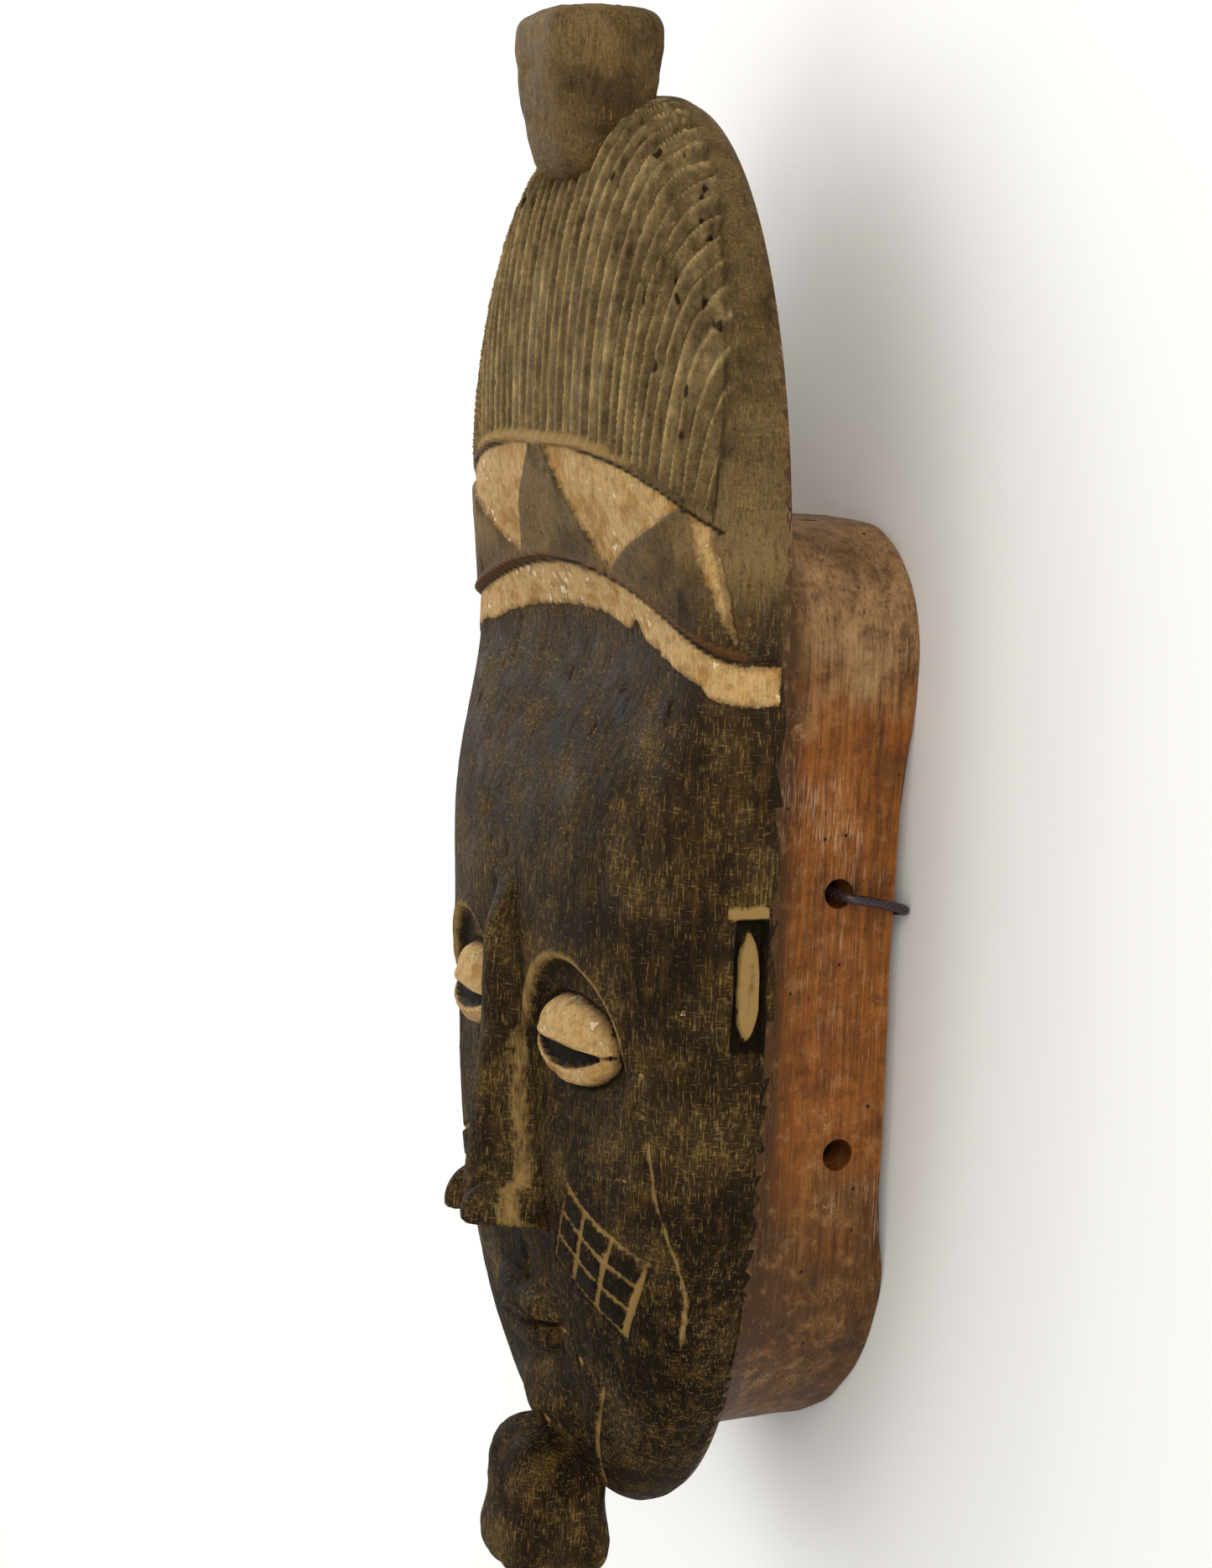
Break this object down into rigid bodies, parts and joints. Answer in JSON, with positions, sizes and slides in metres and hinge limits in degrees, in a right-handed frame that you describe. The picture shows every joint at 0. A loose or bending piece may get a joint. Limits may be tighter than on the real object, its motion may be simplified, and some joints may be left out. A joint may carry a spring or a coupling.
{
  "type": "carved portrait mask",
  "caption": "Hollow carved wooden face mask with combed hair dome, bun, zigzag hair band, chin knob, deep collar and a loose hanging cord.",
  "frame": {"origin": "centre of the mask's bounding box in plan, on the surface that its rim rests on, without the cord", "axes": "+Z the way the face looks, +Y towards the bun on top of the head, +X the mask's own left"},
  "size_m": [0.158, 0.4, 0.0857],
  "materials": {
    "patinated_wood": "matte",
    "braided_cord": "satin"
  },
  "bodies": {
    "root": {"mask_body": "patinated_wood", "hanging_cord": "braided_cord"}
  },
  "joints": []
}
